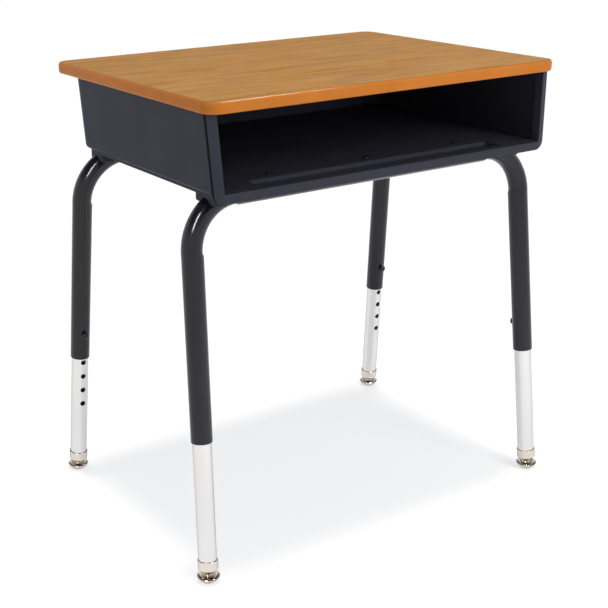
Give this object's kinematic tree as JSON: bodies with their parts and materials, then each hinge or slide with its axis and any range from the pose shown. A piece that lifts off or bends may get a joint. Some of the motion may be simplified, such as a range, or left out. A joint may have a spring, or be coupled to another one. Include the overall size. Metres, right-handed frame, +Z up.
{
  "type": "study desk",
  "caption": "Study desk with a wood-grain top, an open moulded book box beneath it, bent tube frames, telescoping chromed legs and swivel glides.",
  "frame": {"origin": "on the floor under the middle of the desk: the bottom centre of its box", "axes": "+Z up, +X to the sitter's right, -Y out of the open front of the book box"},
  "size_m": [0.6686, 0.4668, 0.6858],
  "materials": {
    "oak_laminate": "satin wood-grain laminate",
    "amber_edge_band": "glossy orange-brown moulded band",
    "chipboard": "raw chipboard",
    "brown_backer": "matt brown backing sheet",
    "black_plastic": "finely textured moulded plastic",
    "charcoal_powder_coat": "semi-gloss powder coat",
    "bright_chrome": "bright plated",
    "warm_nickel": "bright nickel plated",
    "black_screw": "black oxide",
    "zinc_screw": "bright zinc"
  },
  "bodies": {
    "desk": {"top_laminate": "oak_laminate", "top_core": "chipboard", "top_backer": "brown_backer", "edge_band": "amber_edge_band", "book_box": "black_plastic", "front_leg_frame": "charcoal_powder_coat", "rear_leg_frame": "charcoal_powder_coat", "frame_screw_front_left": "black_screw", "frame_screw_front_middle": "black_screw", "frame_screw_front_right": "black_screw", "frame_screw_rear_left": "black_screw", "frame_screw_rear_middle": "black_screw", "frame_screw_rear_right": "black_screw", "top_screw_left_front": "zinc_screw", "top_screw_left_rear": "zinc_screw", "top_screw_right_front": "zinc_screw", "top_screw_right_rear": "zinc_screw", "top_screw_back_left": "zinc_screw", "top_screw_back_right": "zinc_screw"},
    "leg_front_left": {"leg_insert_front_left": "bright_chrome", "ferrule_front_left": "warm_nickel"},
    "stem_front_left": {"glide_stem_front_left": "warm_nickel"},
    "dish_front_left": {"glide_dish_front_left": "warm_nickel"},
    "screw_front_left": {"height_screw_front_left": "black_screw"},
    "leg_front_right": {"leg_insert_front_right": "bright_chrome", "ferrule_front_right": "warm_nickel"},
    "stem_front_right": {"glide_stem_front_right": "warm_nickel"},
    "dish_front_right": {"glide_dish_front_right": "warm_nickel"},
    "screw_front_right": {"height_screw_front_right": "black_screw"},
    "leg_rear_left": {"leg_insert_rear_left": "bright_chrome", "ferrule_rear_left": "warm_nickel"},
    "stem_rear_left": {"glide_stem_rear_left": "warm_nickel"},
    "dish_rear_left": {"glide_dish_rear_left": "warm_nickel"},
    "screw_rear_left": {"height_screw_rear_left": "black_screw"},
    "leg_rear_right": {"leg_insert_rear_right": "bright_chrome", "ferrule_rear_right": "warm_nickel"},
    "stem_rear_right": {"glide_stem_rear_right": "warm_nickel"},
    "dish_rear_right": {"glide_dish_rear_right": "warm_nickel"},
    "screw_rear_right": {"height_screw_rear_right": "black_screw"}
  },
  "joints": [
    {"name": "leg_slide_front_left", "type": "slide", "parent": "desk", "child": "leg_front_left", "axis": [-0.0371, -0.101, -0.9942], "range_m": [-0.127, 0.0762]},
    {"name": "screw_travel_front_left", "type": "slide", "parent": "desk", "child": "screw_front_left", "axis": [-0.0038, 0.9949, -0.101], "range_m": [-0.0027, 0.0012]},
    {"name": "glide_spin_front_left", "type": "hinge", "parent": "leg_front_left", "child": "stem_front_left", "pos_m": [-0.3171, -0.2162, 0.0078], "axis": [0.0371, 0.101, 0.9942], "continuous": true},
    {"name": "glide_tilt_front_left", "type": "hinge", "parent": "stem_front_left", "child": "dish_front_left", "pos_m": [-0.3171, -0.2162, 0.0078], "axis": [-0.9388, 0.3444, 0], "range_deg": [-12, 12]},
    {"name": "leg_slide_front_right", "type": "slide", "parent": "desk", "child": "leg_front_right", "axis": [0.0371, -0.101, -0.9942], "range_m": [-0.127, 0.0762]},
    {"name": "screw_travel_front_right", "type": "slide", "parent": "desk", "child": "screw_front_right", "axis": [0.0038, 0.9949, -0.101], "range_m": [-0.0027, 0.0012]},
    {"name": "glide_spin_front_right", "type": "hinge", "parent": "leg_front_right", "child": "stem_front_right", "pos_m": [0.3171, -0.2162, 0.0078], "axis": [-0.0371, 0.101, 0.9942], "continuous": true},
    {"name": "glide_tilt_front_right", "type": "hinge", "parent": "stem_front_right", "child": "dish_front_right", "pos_m": [0.3171, -0.2162, 0.0078], "axis": [-0.9388, -0.3444, 0], "range_deg": [-12, 12]},
    {"name": "leg_slide_rear_left", "type": "slide", "parent": "desk", "child": "leg_rear_left", "axis": [-0.0371, 0.101, -0.9942], "range_m": [-0.127, 0.0762]},
    {"name": "screw_travel_rear_left", "type": "slide", "parent": "desk", "child": "screw_rear_left", "axis": [-0.0038, -0.9949, -0.101], "range_m": [-0.0027, 0.0012]},
    {"name": "glide_spin_rear_left", "type": "hinge", "parent": "leg_rear_left", "child": "stem_rear_left", "pos_m": [-0.3171, 0.2162, 0.0078], "axis": [0.0371, -0.101, 0.9942], "continuous": true},
    {"name": "glide_tilt_rear_left", "type": "hinge", "parent": "stem_rear_left", "child": "dish_rear_left", "pos_m": [-0.3171, 0.2162, 0.0078], "axis": [0.9388, 0.3444, 0], "range_deg": [-12, 12]},
    {"name": "leg_slide_rear_right", "type": "slide", "parent": "desk", "child": "leg_rear_right", "axis": [0.0371, 0.101, -0.9942], "range_m": [-0.127, 0.0762]},
    {"name": "screw_travel_rear_right", "type": "slide", "parent": "desk", "child": "screw_rear_right", "axis": [0.0038, -0.9949, -0.101], "range_m": [-0.0027, 0.0012]},
    {"name": "glide_spin_rear_right", "type": "hinge", "parent": "leg_rear_right", "child": "stem_rear_right", "pos_m": [0.3171, 0.2162, 0.0078], "axis": [-0.0371, -0.101, 0.9942], "continuous": true},
    {"name": "glide_tilt_rear_right", "type": "hinge", "parent": "stem_rear_right", "child": "dish_rear_right", "pos_m": [0.3171, 0.2162, 0.0078], "axis": [0.9388, -0.3444, 0], "range_deg": [-12, 12]}
  ]
}
